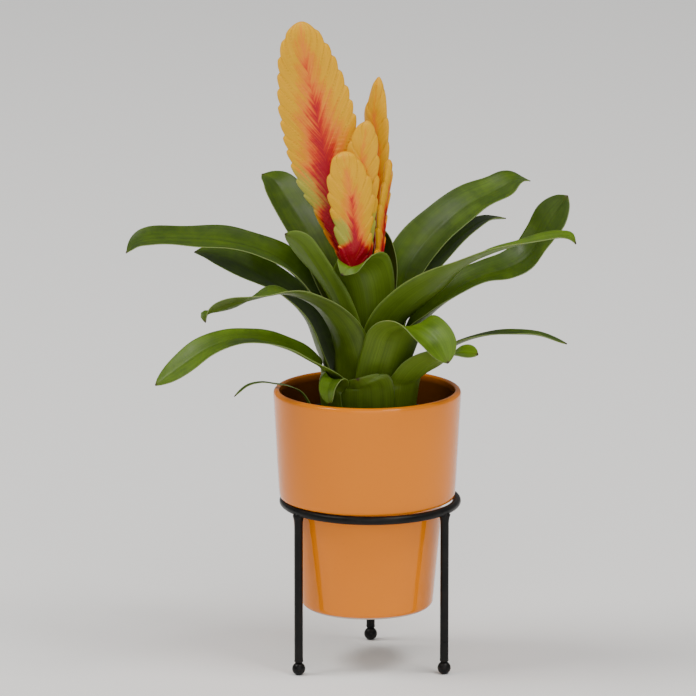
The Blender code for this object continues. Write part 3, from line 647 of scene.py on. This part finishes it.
def evenly(rows, steps):
    """The total length, and rows at even lengths along the smooth curve through the given rows."""
    dense = []
    for index in range((len(rows) - 1) * 24 + 1):
        dense.append(smooth_row(rows, index / 24))
    lengths = [0.0]
    for first, second in zip(dense, dense[1:]):
        lengths.append(lengths[-1] + (Vector(second[:3]) - Vector(first[:3])).length)
    found = []
    index = 0
    for step in range(steps + 1):
        wanted = lengths[-1] * step / steps
        while index < len(lengths) - 2 and lengths[index + 1] < wanted:
            index += 1
        part = (wanted - lengths[index]) / max(lengths[index + 1] - lengths[index], 1e-9)
        found.append([a + (b - a) * part for a, b in zip(dense[index], dense[index + 1])])
    return lengths[-1], found


def direction(degrees):
    return Vector((math.cos(math.radians(degrees)), math.sin(math.radians(degrees)), 0.0))


def placed(row):
    """A row's x, y, height over the rim and width, as metres from the stand's axis and the floor."""
    x, y, rise, width = (value * MM for value in row)
    return (x, y, POT_HIGH[2] + rise, width)


def leaf_rows(name):
    """All rows of a leaf in metres, its sheath included."""
    degrees, tier, sheath, rows = LEAVES[name]
    made = []
    if tier is not None:
        radius = TIER_FIRST + TIER_PITCH * tier
        for z, r in ((SHEATH_FOOT, radius * TIER_FOOT_SHARE), (SHEATH_TOP, radius)):
            spot = direction(degrees) * r
            cup = min(math.degrees(sheath / 2000 / r), 100.0)
            made.append((spot.x, spot.y, z, sheath * MM, 0.0, cup))
    for row in rows:
        made.append(placed(row[:4]) + row[4:])
    return made


def blade_width(share, width):
    """The width of a blade that keeps its breadth, rounds off, and ends in a small spur."""
    rest = (share - (1 - TIP_SHARE)) / TIP_SHARE
    if rest <= 0:
        return width
    spur = SPUR_WIDTH * (1.0 - 0.75 * max(rest - 0.9, 0.0) / 0.1)
    inner = rest / SPUR_START
    if inner >= 1:
        return spur
    return max(width * (1 - inner ** TIP_POWER) ** 0.5, spur)


def grow_leaf(name, settings, materials):
    """One blade: a grid bent along its rib, channelled, with waved edges, then given its thickness."""
    degrees = LEAVES[name][0]
    tone_and_painted_light, wave, seed = LEAF_LOOKS[name]
    length, _ = evenly(leaf_rows(name), 8)
    steps = max(40, int(length / BLADE_STEP))
    columns = BLADE_COLUMNS if name != "leaf_grass_blade" else GRASS_COLUMNS
    _, stations = evenly(leaf_rows(name), steps)
    side = direction(degrees + 90)
    spines = []
    for index, row in enumerate(stations):
        reach = max(2, steps // 40)
        ahead = Vector(stations[min(index + reach, steps)][:3])
        behind = Vector(stations[max(index - reach, 0)][:3])
        along = (ahead - behind).normalized()
        across = (side - along * side.dot(along)).normalized()
        up = along.cross(across)
        roll = math.radians(row[4])
        turned_across = across * math.cos(roll) + up * math.sin(roll)
        turned_up = up * math.cos(roll) - across * math.sin(roll)
        width = blade_width(index / steps, row[3])
        spines.append((Vector(row[:3]) + AXIS, turned_across, turned_up, width,
                       math.radians(max(row[5], 2.0))))
    build = bmesh.new()
    bmesh.ops.create_grid(build, x_segments=columns, y_segments=steps, size=1.0)
    bmesh.ops.reverse_faces(build, faces=build.faces[:])
    uv = build.loops.layers.uv.new("blade")
    layers = {key: build.verts.layers.float.new(key) for key in ("tone_and_painted_light", "along", "edge", "tip")}
    thickness = build.verts.layers.deform.new()
    places = {}
    for vert in build.verts:
        share = (vert.co.y + 1) / 2
        u = vert.co.x
        here, across, up, width, cup = spines[round(share * steps)]
        distance = share * length
        # Partly painted light and shade: the leaf's lightness, set partly for how it is lit
        vert[layers["tone_and_painted_light"]] = tone_and_painted_light
        vert[layers["along"]] = share
        vert[layers["edge"]] = (1 - abs(u)) * width / 2
        vert[layers["tip"]] = length - distance + abs(u) * width * 0.6
        vert[thickness][0] = 1.0 - 0.6 * abs(u) ** 4
        places[vert] = (u, distance)
        bow = width / 2 / cup
        angle = cup * u
        free = min(1.0, max(0.0, (share - 0.25) / 0.25)) * min(1.0, width / 0.012)
        edge_wave = math.sin(distance * 118 + seed + (1.7 if u > 0 else 0.0)) * abs(u) ** 3
        edge_wave += 0.6 * noise.noise(Vector((u * 1.2, distance * 34, seed)))
        groove = -0.35 * math.exp(-(u / 0.10) ** 2) * min(1.0, width / 0.02)
        ribs = 0.035 * math.cos(u * 44.0)
        lift = (wave * edge_wave * free + (groove + ribs) * free) * MM
        vert.co = here + across * (bow * math.sin(angle)) + up * (bow * (1 - math.cos(angle)) + lift)
    for face in build.faces:
        for loop in face.loops:
            u, distance = places[loop.vert]
            loop[uv].uv = ((u + 1) / 2, distance * 10 + seed)
    made = finish_piece(build, name.replace("leaf_", "blade_"), materials, [name])
    made.vertex_groups.new(name="thickness")
    thicken = made.modifiers.new("Thickness", "SOLIDIFY")
    thicken.thickness = settings.thickness if name != "leaf_grass_blade" else settings.thickness * 0.6
    thicken.offset = 0.0
    thicken.vertex_group = "thickness"
    thicken.thickness_vertex_group = 0.3
    thicken.material_offset = 1
    thicken.material_offset_rim = 2
    return made


def spike_frames(name, steps):
    """Centres, directions, half widths and half depths up a flat flower spike."""
    yaw, thickness, _, rows = SPIKES[name]
    length, stations = evenly([placed(row) for row in rows], steps)
    facing = direction(yaw)
    frames = []
    for index, row in enumerate(stations):
        ahead = Vector(stations[min(index + 2, steps)][:3])
        behind = Vector(stations[max(index - 2, 0)][:3])
        along = (ahead - behind).normalized()
        across = (facing - along * facing.dot(along)).normalized()
        out = along.cross(across)
        half = row[3] / 2
        deep = min(thickness * MM / 2, half * 0.8)
        frames.append((Vector(row[:3]) + AXIS, along, across, out, half, deep))
    return length, frames


def eased(value, low, high):
    """0 below low, 1 above high, and smooth between."""
    part = min(max((value - low) / (high - low), 0.0), 1.0)
    return part * part * (3 - 2 * part)


def add_spike(name, settings, material):
    """A flat spike of two ranks of bracts, whose edges climb from the middle out to tips on its rim."""
    pairs = SPIKES[name][2]
    reach, foot, foot_green, green_side, seed = SPIKE_LOOKS[name]
    steps, around = 28 * pairs + 60, 80
    length, frames = spike_frames(name, steps)
    widest = max(frame[4] for frame in frames)
    climb = pairs * BRACT_SLOPE * widest / length  # how many bracts one edge crosses on its way out
    build = bmesh.new()
    bmesh.ops.create_grid(build, x_segments=around, y_segments=steps, size=1.0)
    layers = {key: build.verts.layers.float.new(key) for key in ("ripeness", "greenness", "bract_tip",
                                                                 "bract_overlap_shade")}
    uv = build.loops.layers.uv.new("bract")
    places = {}
    for vert in build.verts:
        index = round((vert.co.y + 1) / 2 * steps)
        share = index / steps
        angle = vert.co.x * math.pi
        u = math.cos(angle)
        shown = abs(u)
        here, along, across, out, half, deep = frames[index]
        top = math.sqrt(max(0.0, 1 - (max(0.0, share - SPIKE_ROUND) / (1 - SPIKE_ROUND)) ** 2))
        band = share * pairs + climb * (1 - shown) ** 1.25 + (0.5 if u > 0 else 0.0)
        band += 0.10 * noise.noise(Vector((share * 9, u * 1.5, seed)))
        part = band - math.floor(band)
        if part < 0.78:
            lobe = math.sin(math.pi / 2 * part / 0.78)
        else:
            lobe = math.cos(math.pi / 2 * (part - 0.78) / 0.22)
        rim = 1.0 + settings.scallop / max(half, settings.scallop * 8) * (lobe - 0.75) * shown ** 5
        shingle = settings.bract * (part ** 1.6 - 0.35) * eased(shown, 0.04, 0.30) * (1 - 0.6 * shown ** 8)
        height = (deep * abs(math.sin(angle)) ** 0.85 + shingle * min(1.0, abs(math.sin(angle)) * 4)) * top
        vert.co = here + across * (half * u * rim * top) + out * math.copysign(height, math.sin(angle))
        ripe = 1.05 * shown + 1.3 * (share - 0.46) - reach
        vert[layers["ripeness"]] = ripe - 1.3 * (1 - eased(share, foot - 0.12, foot + 0.05))
        patch = eased(share, foot - 0.04, foot + 0.05) * (1 - eased(share, foot + 0.10, foot + 0.26))
        sided = 1.0 if u * green_side > 0 else 0.3
        vert[layers["greenness"]] = patch * (0.35 + 0.8 * shown) * foot_green * sided
        vert[layers["bract_tip"]] = part * shown ** 4
        # Painted shade mask: low just above each overlapping bract's edge, none along the spike's middle
        vert[layers["bract_overlap_shade"]] = part + 1 - eased(shown, 0.15, 0.6)
        places[vert] = (shown, band - (0.5 if u > 0 else 0.0), u, math.sin(angle))
    for face in build.faces:
        side = sum(places[vert][2] for vert in face.verts) > 0
        front = sum(places[vert][3] for vert in face.verts) > 0
        for loop in face.loops:
            shown, band, u, v = places[loop.vert]
            loop[uv].uv = (shown + (3.1 if side else 0.0) + (7.3 if front else 0.0), band * 0.55)
    bmesh.ops.remove_doubles(build, verts=build.verts[:], dist=0.000002)
    bmesh.ops.holes_fill(build, edges=[edge for edge in build.edges if edge.is_boundary], sides=0)
    bmesh.ops.recalc_face_normals(build, faces=build.faces[:])
    return finish_piece(build, name.replace("spike_", "bracts_"), [material], [name])


# ---------------------------------------------------------------- operators

class BROMELIAD_OT_stand(Operator):
    """Bend and weld the wire stand: its ring, three legs and three ball feet"""
    bl_idname = "bromeliad.stand"
    bl_label = "Wire Stand"

    def execute(self, context):
        settings = context.scene.bromeliad_stand
        paint = paint_material(settings)
        circle = arc((RING_RADIUS, RING_CENTRE.z), ROD_RADIUS, 0, 345, 23)
        ring = turned(circle, 160, AXIS, closed=True)
        finish_piece(ring, "ring_rod", [paint], ["stand_ring"])
        for side in ("left", "right", "rear"):
            self.add_leg(side, settings, paint)
            self.add_ball(side, paint)
        return {"FINISHED"}

    def add_leg(self, side, settings, paint):
        """A rod that flares into a weld under the ring and into its ball."""
        low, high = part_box("stand_leg_" + side)
        centre = node_centre("stand_leg_" + side)
        swell = settings.weld
        top = RING_CENTRE.z - ROD_RADIUS * 0.2
        bottom = low[2] - 0.0006
        profile = [(0.0, bottom), (ROD_RADIUS * 0.86, bottom), (ROD_RADIUS + 0.0002, low[2] + 0.0004)]
        profile += [(ROD_RADIUS, low[2] + 0.0018), (ROD_RADIUS, high[2] - 0.0055)]
        profile += [(ROD_RADIUS + swell * 0.12, high[2] - 0.0032),
                    (ROD_RADIUS + swell * 0.55, high[2] - 0.0012)]
        profile += [(ROD_RADIUS + swell, high[2] + 0.0006), (ROD_RADIUS * 0.9, top), (0.0, top)]
        leg = turned(even_profile(profile, 0.003), 40, centre)
        for vert in leg.verts:
            if vert.co.z > high[2] - 0.004:
                vert.co.x += 0.00018 * noise.noise(vert.co * 900)
                vert.co.y += 0.00018 * noise.noise(vert.co * 900 + Vector((5, 5, 5)))
        finish_piece(leg, "leg_rod_" + side, [paint], ["stand_leg_" + side])

    def add_ball(self, side, paint):
        low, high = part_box("foot_ball_" + side)
        centre = node_centre("foot_ball_" + side)
        radius = (high[0] - low[0]) / 2
        middle = high[2] - radius
        start = math.degrees(math.asin(-middle / radius))
        profile = [(0.0, 0.0)] + arc((0.0, middle), radius, start, 90, 22)
        profile[-1] = (0.0, middle + radius)
        finish_piece(turned(profile, 48, centre), "ball_" + side, [paint], ["foot_ball_" + side])


class BROMELIAD_OT_pot(Operator):
    """Throw and glaze the tapered pot with its step for the ring"""
    bl_idname = "bromeliad.pot"
    bl_label = "Glazed Pot"

    def execute(self, context):
        settings = context.scene.bromeliad_pot
        profile = list(reversed(self.wall(settings.wall, POT_LOW[2] + settings.floor, 180, settings)))
        profile += self.wall(0.0, POT_LOW[2], 0, settings)
        build = turned(even_profile(profile, 0.004), 200, POT_AXIS)
        build.normal_update()
        thin = build.verts.layers.float.new("thin_glaze_and_ring_shade")
        dark = build.verts.layers.float.new("inside")
        bare = build.verts.layers.float.new("unglazed")
        top = POT_HIGH[2]
        for vert in build.verts:
            r = math.hypot(vert.co.x - POT_AXIS.x, vert.co.y - POT_AXIS.y)
            lip = max(0.0, 1 - abs(top - 0.0004 - vert.co.z) / 0.0016) * 0.35
            # Painted shade: a browner band round the outside just over the ring, where the ring's contact
            # shadow falls
            step = math.exp(-((vert.co.z - RING_CENTRE.z - 0.0036) / 0.0012) ** 2) * 0.4 if r > 0.057 else 0.0
            foot = max(0.0, 1 - (vert.co.z - POT_LOW[2]) / 0.006) * 0.8
            side, depth = vert.co.x - POT_AXIS.x, vert.co.y - POT_AXIS.y
            faces_in = vert.normal.x * side + vert.normal.y * depth < -0.1 * r
            inner = faces_in or (vert.normal.z > 0.5 and vert.co.z < top - 0.01)
            vert[thin] = max(lip, step, foot)
            vert[bare] = 1.0 if vert.normal.z < -0.7 and vert.co.z < POT_LOW[2] + 0.002 else 0.0
            # Painted shade: inner faces darken from a few millimetres under the lip downwards
            vert[dark] = eased(top - vert.co.z, 0.0008, 0.0035) if inner else 0.0
        finish_piece(build, "glazed_pot", [glaze_material(settings)], ["ceramic_pot"])
        return {"FINISHED"}

    def wall(self, inset, bottom, lip_end, settings):
        """The r, z points from the lip down the wall to the floor's middle, inset from its outer face."""
        rim, lip = (POT_HIGH[0] - POT_LOW[0]) / 2, (OUTER_LIP if inset == 0 else INNER_LIP)
        slope = math.tan(SEAT_SLOPE)
        centre_r = rim - lip if inset == 0 else rim - inset + lip
        points = arc((centre_r, POT_HIGH[2] - lip), lip, 90, lip_end, 8)
        shoulder_r, waist_r, foot_r = SHOULDER_RADIUS - inset, WAIST_RADIUS - inset, FOOT_RADIUS - inset
        reach = ROD_RADIUS + RING_GAP
        touch_r = RING_RADIUS - (RING_CENTRE.x - POT_CENTRE.x) - reach * math.sin(SEAT_SLOPE)
        touch_z = RING_CENTRE.z + reach * math.cos(SEAT_SLOPE)
        drop = inset * 0.35
        shoulder_z = touch_z + (SHOULDER_RADIUS - touch_r) * slope - drop
        waist_z = touch_z - (touch_r - WAIST_RADIUS) * slope - drop
        if inset == 0:  # the outer shoulder levels off just over the ring
            under_z = RING_CENTRE.z + reach + SHOULDER_LIFT
            points += [(shoulder_r + 0.0008, under_z + 0.0086), (shoulder_r + 0.0003, under_z + 0.0030)]
            points += [(shoulder_r + 0.0001, under_z + 0.0014), (shoulder_r - 0.0003, under_z + 0.0004)]
            points += [(shoulder_r - 0.0010, under_z + 0.00002),
                       (touch_r + (under_z - touch_z) / slope, under_z)]
        else:
            points += [(shoulder_r + 0.0008, shoulder_z + 0.0080), (shoulder_r + 0.0003, shoulder_z + 0.0030)]
            points += [(shoulder_r + 0.0001, shoulder_z + 0.0014), (shoulder_r - 0.0004, shoulder_z + 0.0002)]
            points += [(shoulder_r - 0.0012, shoulder_z - 0.0009)]
        points += [(waist_r + 0.0012, waist_z + 0.0010)]
        points += [(waist_r + 0.0003, waist_z - 0.0003), (waist_r - 0.0001, waist_z - 0.0022)]
        fillet = 0.0052 - inset * 0.4
        points += arc((foot_r - fillet, bottom + fillet), fillet, 0, -90, 10)
        return points + [(0.0, bottom)]


class BROMELIAD_OT_soil(Operator):
    """Fill the black nursery pot with peat and scatter crumbs of bark on it"""
    bl_idname = "bromeliad.soil"
    bl_label = "Nursery Pot and Soil"

    def execute(self, context):
        settings = context.scene.bromeliad_soil
        low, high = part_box("grow_pot")
        edge = (high[0] - low[0]) / 2
        wall, rim_height, rim_width = 0.0010, 0.007, 0.0020
        foot, under, rim_z = 0.0375, edge - rim_width, high[2] - rim_height
        outer = [(0.0, low[2]), (foot - 0.002, low[2]), (foot, low[2] + 0.002), (under, rim_z),
                 (edge - 0.0004, rim_z)]
        outer += [(edge, rim_z + 0.0004), (edge, high[2] - 0.0005), (edge - 0.0005, high[2])]
        inner = [(edge - wall, high[2]), (edge - wall - 0.0002, rim_z + 0.002), (under - wall, rim_z)]
        inner += [(foot - wall, low[2] + 0.004), (foot - wall - 0.003, low[2] + wall), (0.0, low[2] + wall)]
        build = turned(even_profile(outer + inner, 0.006), 120, POT_AXIS)
        finish_piece(build, "nursery_pot", [plastic_material(settings)], ["grow_pot"])
        self.add_soil(settings, under - wall - 0.0006, rim_z)
        return {"FINISHED"}

    def add_soil(self, settings, radius, rim_z):
        low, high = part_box("potting_soil")
        level = high[2] - 0.0015
        profile = [(0.0, low[2]), (0.031, low[2]), (0.0355, low[2] + 0.004), (radius, rim_z - 0.001),
                   (radius, level)]
        top = [(radius * share, level + 0.0010 * (1 - share ** 2)) for share in [i / 40 for i in range(39, -1,
                                                                                                       -1)]]
        build = turned(profile + top, 128, POT_AXIS)
        crumb = build.verts.layers.float.new("crumb")
        for vert in build.verts:
            if vert.co.z > level - 0.0001:
                coarse = noise.noise(vert.co * 130) + 0.6 * noise.noise(vert.co * 330)
                vert.co.z += 0.0011 * coarse
            vert[crumb] = 0.2
        chance = random.Random(21)
        for _ in range(settings.crumbs):
            spread_out = radius * math.sqrt(chance.uniform(0.50, 0.97))
            angle = chance.uniform(0, math.tau)
            size = chance.choice((0.0008, 0.0011, 0.0014, 0.0021))
            spot = POT_AXIS + Vector((spread_out * math.cos(angle), spread_out * math.sin(angle),
                                      level + size * 0.5))
            turn = Matrix.Rotation(chance.uniform(0, math.tau), 4,
                                   Vector((chance.random(), chance.random(), 1)))
            squash = Matrix.Diagonal((size, size * chance.uniform(0.5, 1.4), size * chance.uniform(0.35, 0.8),
                                      1))
            made = bmesh.ops.create_icosphere(build, subdivisions=2, radius=1.0,
                                              matrix=Matrix.Translation(spot) @ turn @ squash)
            hue = chance.random()
            for vert in made["verts"]:
                vert.co += (vert.co - spot) * 0.35 * noise.noise(vert.co * 1400)
                vert[crumb] = hue
        bmesh.ops.recalc_face_normals(build, faces=build.faces[:])
        finish_piece(build, "peat_and_crumbs", [soil_material(settings)], ["potting_soil"])


class BROMELIAD_OT_leaves(Operator):
    """Grow every strap leaf and the one thin blade"""
    bl_idname = "bromeliad.leaves"
    bl_label = "Leaves"

    def execute(self, context):
        settings = context.scene.bromeliad_leaf
        materials = leaf_materials(settings)
        for name in LEAVES:
            grow_leaf(name, settings, materials)
        return {"FINISHED"}


class BROMELIAD_OT_flower(Operator):
    """Grow the stalk and the flat spikes of overlapping bracts"""
    bl_idname = "bromeliad.flower"
    bl_label = "Flower Spikes"

    def execute(self, context):
        settings = context.scene.bromeliad_flower
        wax = bract_material(settings)
        for name in SPIKES:
            add_spike(name, settings, wax)
        stalk = frame["nodes"]["flower_stem"]
        stalk.data.materials.clear()
        stalk.data.materials.append(stem_material())
        return {"FINISHED"}


class BROMELIAD_OT_stage(Operator):
    """Lay the pale floor and set up the studio lights and the camera"""
    bl_idname = "bromeliad.stage"
    bl_label = "Stage"

    def execute(self, context):
        settings = context.scene.bromeliad_stage
        build = bmesh.new()
        bmesh.ops.create_grid(build, x_segments=8, y_segments=8, size=9.0)
        finish_piece(build, "floor", [floor_material(settings)], [])
        self.add_world(context)
        rim = Vector((POT_CENTRE.x, POT_CENTRE.y, POT_HIGH[2]))
        self.add_softbox("overhead_left", rim + Vector((-3.2, -0.56, 4.6)), rim, (2.5, 2.0), 190.0)
        self.add_softbox("overhead_right", rim + Vector((2.28, -1.48, 5.0)), rim, (2.2, 1.8), 160.0)
        self.add_sun("front_fill", (0.20, -1.0, 0.50), 1.2, 60)
        self.add_camera(context, settings)
        return {"FINISHED"}

    def add_world(self, context):
        """Even white light, seen by the camera as a plain white backdrop."""
        world = bpy.data.worlds.new("studio")
        world.use_nodes = True
        tree = world.node_tree
        tree.nodes.clear()
        dim = add_node(tree, "Background", {"Color": (1.0, 1.0, 1.0, 1.0), "Strength": LIGHT_ALL_ROUND})
        bright = add_node(tree, "Background", {"Color": (1.0, 1.0, 1.0, 1.0), "Strength": BACKDROP_LIGHT})
        seen = add_node(tree, "LightPath").outputs["Is Camera Ray"]
        mixed = add_node(tree, "MixShader", {0: seen, 1: dim.outputs[0], 2: bright.outputs[0]})
        out = add_node(tree, "OutputWorld")
        tree.links.new(mixed.outputs[0], out.inputs["Surface"])
        context.scene.world = world

    def add_softbox(self, name, spot, aim, size, power):
        light = bpy.data.lights.new(name, "AREA")
        light.shape = "RECTANGLE"
        light.size, light.size_y = size
        light.energy = power
        light.color = (1.0, 0.975, 0.93)
        made = bpy.data.objects.new(name, light)
        made.location = spot
        made.rotation_euler = (aim - spot).to_track_quat("-Z", "Y").to_euler()
        bpy.context.scene.collection.objects.link(made)

    def add_sun(self, name, towards, strength, spread_degrees):
        light = bpy.data.lights.new(name, "SUN")
        light.energy = strength
        light.angle = math.radians(spread_degrees)
        made = bpy.data.objects.new(name, light)
        made.rotation_euler = (-Vector(towards)).to_track_quat("-Z", "Y").to_euler()
        bpy.context.scene.collection.objects.link(made)

    def add_camera(self, context, settings):
        camera = bpy.data.cameras.new("camera")
        camera.lens = settings.lens
        camera.sensor_width = 36.0
        camera.clip_end = 60.0
        aim = Vector((AXIS.x + AIM_SIDE, AXIS.y + AIM_DEPTH, AIM_HEIGHT))
        back = Vector((0.0, -math.cos(settings.pitch), math.sin(settings.pitch)))
        made = bpy.data.objects.new("camera", camera)
        made.location = aim + back * settings.distance
        made.rotation_euler = (-back).to_track_quat("-Z", "Y").to_euler()
        context.scene.collection.objects.link(made)
        context.scene.camera = made


class BROMELIAD_PT_panel(Panel):
    """Buttons for each group of pieces"""
    bl_idname = "BROMELIAD_PT_panel"
    bl_label = "Potted Bromeliad"
    bl_space_type = "VIEW_3D"
    bl_region_type = "UI"
    bl_category = "Bromeliad"

    def draw(self, context):
        for operator in OPERATORS:
            self.layout.operator(operator.bl_idname)
        for key in SETTINGS:
            group = getattr(context.scene, key)
            box = self.layout.box()
            for item in group.bl_rna.properties:
                if item.identifier not in ("rna_type", "name"):
                    box.prop(group, item.identifier)


SETTINGS = {
    "bromeliad_stand": BromeliadStandSettings,
    "bromeliad_pot": BromeliadPotSettings,
    "bromeliad_soil": BromeliadSoilSettings,
    "bromeliad_leaf": BromeliadLeafSettings,
    "bromeliad_flower": BromeliadFlowerSettings,
    "bromeliad_stage": BromeliadStageSettings,
}
OPERATORS = (BROMELIAD_OT_stage, BROMELIAD_OT_stand, BROMELIAD_OT_pot, BROMELIAD_OT_soil, BROMELIAD_OT_leaves,
             BROMELIAD_OT_flower)


def register():
    for item in (*SETTINGS.values(), *OPERATORS, BROMELIAD_PT_panel):
        bpy.utils.register_class(item)
    for key, item in SETTINGS.items():
        setattr(bpy.types.Scene, key, PointerProperty(type=item))


def unregister():
    for key in SETTINGS:
        delattr(bpy.types.Scene, key)
    for item in reversed((*SETTINGS.values(), *OPERATORS, BROMELIAD_PT_panel)):
        bpy.utils.unregister_class(item)


def main():
    register()
    bpy.ops.bromeliad.stage()
    bpy.ops.bromeliad.stand()
    bpy.ops.bromeliad.pot()
    bpy.ops.bromeliad.soil()
    bpy.ops.bromeliad.leaves()
    bpy.ops.bromeliad.flower()


if __name__ == "__main__":
    main()
